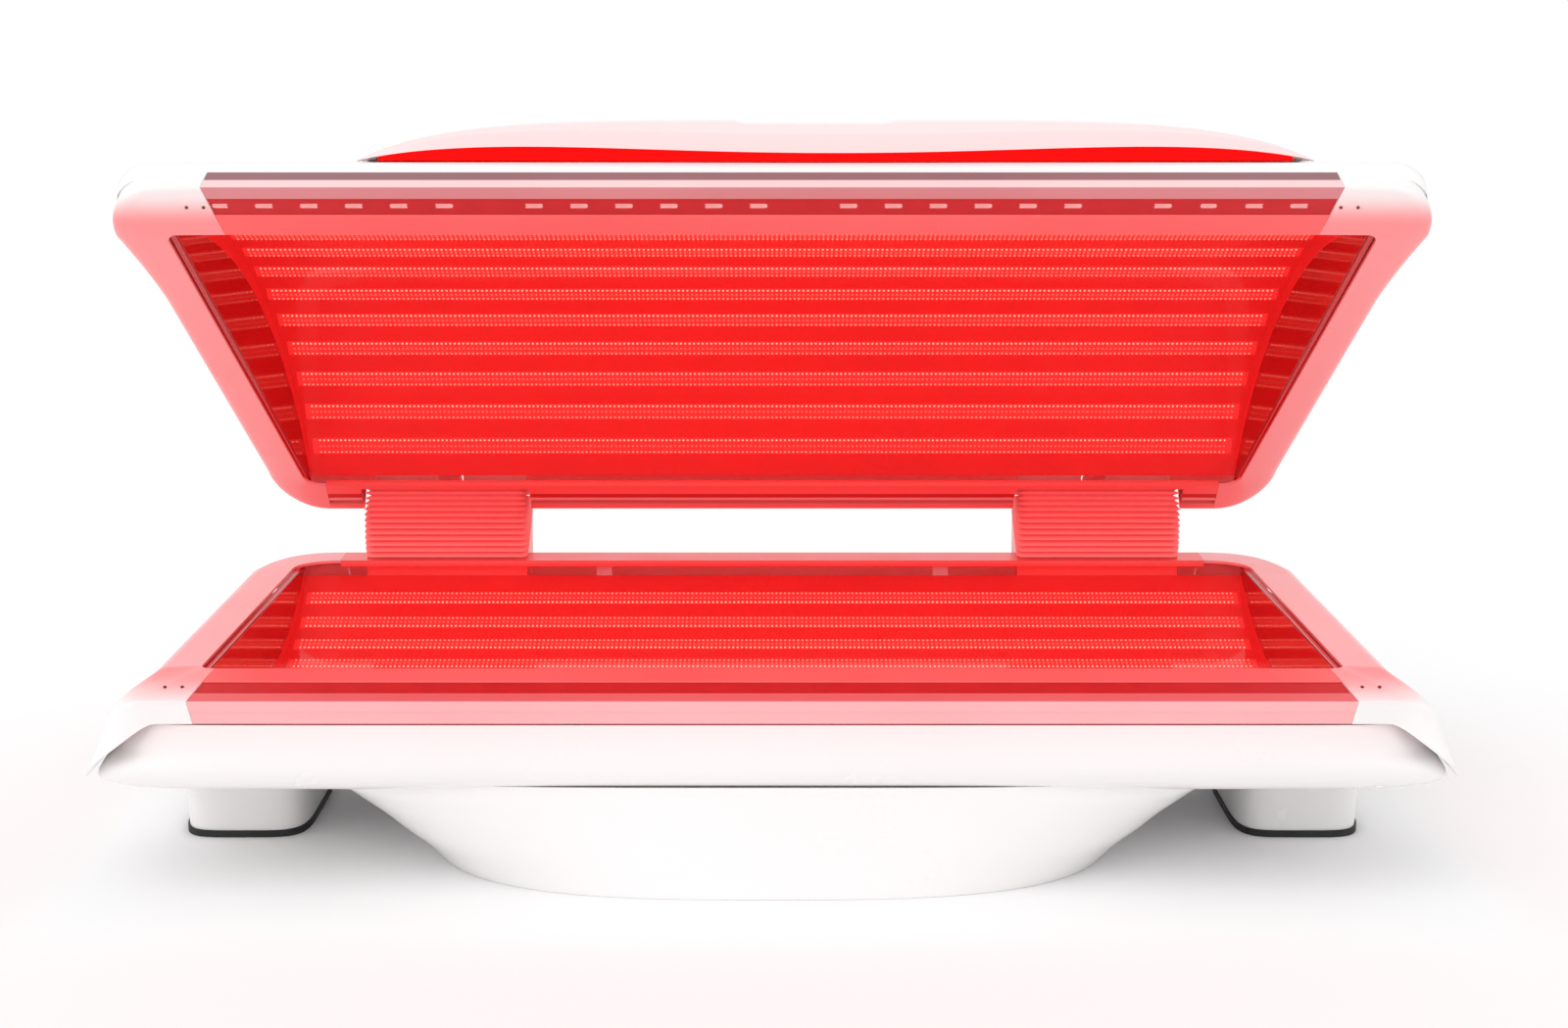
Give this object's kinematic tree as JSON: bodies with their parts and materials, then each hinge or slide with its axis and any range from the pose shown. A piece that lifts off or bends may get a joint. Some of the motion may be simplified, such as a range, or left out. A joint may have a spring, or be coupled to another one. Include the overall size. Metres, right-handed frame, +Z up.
{
  "type": "red light therapy bed",
  "caption": "Full-length clamshell light bed: a white tub on a flared pedestal, with a hinged light canopy on folding bellows, open.",
  "frame": {"origin": "on the floor, under the middle of the object", "axes": "+X to the right seen from the front, +Y to the back, +Z up"},
  "size_m": [2.25, 1.324, 1.2628],
  "materials": {
    "white_cover": "glossy moulded white",
    "rim_paint": "smooth satin paint",
    "mesh": "perforated strip, painted",
    "acrylic": "clear glossy sheet over red light",
    "lamp_board": "circuit board with red lamps",
    "hood_light": "lit red strip",
    "bellows": "coated cloth, folded",
    "pad": "moulded rubber",
    "steel_paint": "light grey powder coat",
    "steel_pin": "turned",
    "spring_paint": "black gloss paint",
    "rod": "polished",
    "black_plastic": "fine grain",
    "rocker": "glossy black",
    "supply_case": "folded sheet",
    "board": "green circuit board"
  },
  "bodies": {
    "base": {"front_cover": "white_cover", "rear_cover": "white_cover", "rear_deck": "white_cover", "belly_pan": "white_cover", "pedestal_skirt": "white_cover", "leg_cover_left": "white_cover", "leg_cover_right": "white_cover", "foot_pads": "pad", "end_cover_left": "white_cover", "end_cover_right": "white_cover", "front_rim_profile": "rim_paint", "rear_rim_profile": "rim_paint", "front_rim_mesh": "mesh", "bed_acrylic": "acrylic", "bed_tray": "steel_paint", "bed_lamp_boards": "lamp_board", "frame_front_rail": "steel_paint", "frame_rear_rail": "steel_paint", "frame_cross_members": "steel_paint", "frame_uprights": "steel_paint", "frame_posts": "steel_paint", "equipment_tray": "steel_paint", "power_supplies": "supply_case", "control_board": "board", "base_fan_frames": "black_plastic", "mains_inlet": "black_plastic", "hinge_post_left": "steel_paint", "hinge_post_right": "steel_paint", "hinge_pins": "steel_pin", "bellows_base_frames": "black_plastic", "bellows_left": "bellows", "bellows_right": "bellows", "cap_screws": "steel_pin"},
    "canopy": {"top_shell": "white_cover", "canopy_end_rail_left": "white_cover", "canopy_end_rail_right": "white_cover", "canopy_front_profile": "rim_paint", "canopy_rear_profile": "rim_paint", "canopy_front_mesh": "mesh", "canopy_acrylic": "acrylic", "canopy_tray": "steel_paint", "canopy_lamp_boards": "lamp_board", "canopy_ribs": "steel_paint", "canopy_arm_left": "steel_paint", "canopy_arm_right": "steel_paint", "arm_housings": "white_cover", "hood": "white_cover", "hood_light": "hood_light", "canopy_screws": "steel_pin", "canopy_fan_frames": "black_plastic"},
    "gas_cylinder_left": {"gas_cylinder_left": "spring_paint"},
    "gas_cylinder_right": {"gas_cylinder_right": "spring_paint"},
    "gas_rod_left": {"gas_rod_left": "rod"},
    "gas_rod_right": {"gas_rod_right": "rod"},
    "base_fan_left": {"base_fan_rotor_left": "black_plastic"},
    "base_fan_right": {"base_fan_rotor_right": "black_plastic"},
    "canopy_fan_left": {"canopy_fan_rotor_left": "black_plastic"},
    "canopy_fan_right": {"canopy_fan_rotor_right": "black_plastic"},
    "mains_rocker": {"mains_rocker": "rocker"}
  },
  "joints": [
    {"name": "canopy_hinge", "type": "hinge", "parent": "base", "child": "canopy", "pos_m": [0, 0.5, 0.482], "axis": [1, 0, 0], "range_deg": [0, 37.8], "deforming": ["bellows_left", "bellows_right"]},
    {"name": "gas_cylinder_left_swing", "type": "hinge", "parent": "base", "child": "gas_cylinder_left", "pos_m": [-0.69, 0.41485, 0.219], "axis": [1, 0, 0], "range_deg": [-0.3, 1]},
    {"name": "gas_rod_left_slide", "type": "slide", "parent": "gas_cylinder_left", "child": "gas_rod_left", "axis": [0, 0, 1], "range_m": [-0.062, 0.001]},
    {"name": "gas_cylinder_right_swing", "type": "hinge", "parent": "base", "child": "gas_cylinder_right", "pos_m": [0.69, 0.41485, 0.219], "axis": [1, 0, 0], "range_deg": [-0.3, 1]},
    {"name": "gas_rod_right_slide", "type": "slide", "parent": "gas_cylinder_right", "child": "gas_rod_right", "axis": [0, 0, 1], "range_m": [-0.062, 0.001]},
    {"name": "base_fan_left_spin", "type": "hinge", "parent": "base", "child": "base_fan_left", "pos_m": [-0.56, 0.05, 0.196], "axis": [0, 0, 1], "continuous": true},
    {"name": "base_fan_right_spin", "type": "hinge", "parent": "base", "child": "base_fan_right", "pos_m": [0.56, 0.05, 0.196], "axis": [0, 0, 1], "continuous": true},
    {"name": "canopy_fan_left_spin", "type": "hinge", "parent": "canopy", "child": "canopy_fan_left", "pos_m": [-0.13, -0.10433, 1.14847], "axis": [0, 0.3267, 0.9451], "continuous": true},
    {"name": "canopy_fan_right_spin", "type": "hinge", "parent": "canopy", "child": "canopy_fan_right", "pos_m": [0.13, -0.10433, 1.14847], "axis": [0, 0.3267, 0.9451], "continuous": true},
    {"name": "mains_rocker_tilt", "type": "hinge", "parent": "base", "child": "mains_rocker", "pos_m": [0.315, 0.6583, 0.2745], "axis": [1, 0, 0], "range_deg": [-8, 8]}
  ],
  "couplings": [
    {"joint": "gas_cylinder_left_swing", "follows": "canopy_hinge", "ratio": 0.01481},
    {"joint": "gas_rod_left_slide", "follows": "canopy_hinge", "m_per_rad": -0.088377},
    {"joint": "gas_cylinder_right_swing", "follows": "canopy_hinge", "ratio": 0.01481},
    {"joint": "gas_rod_right_slide", "follows": "canopy_hinge", "m_per_rad": -0.088377}
  ]
}
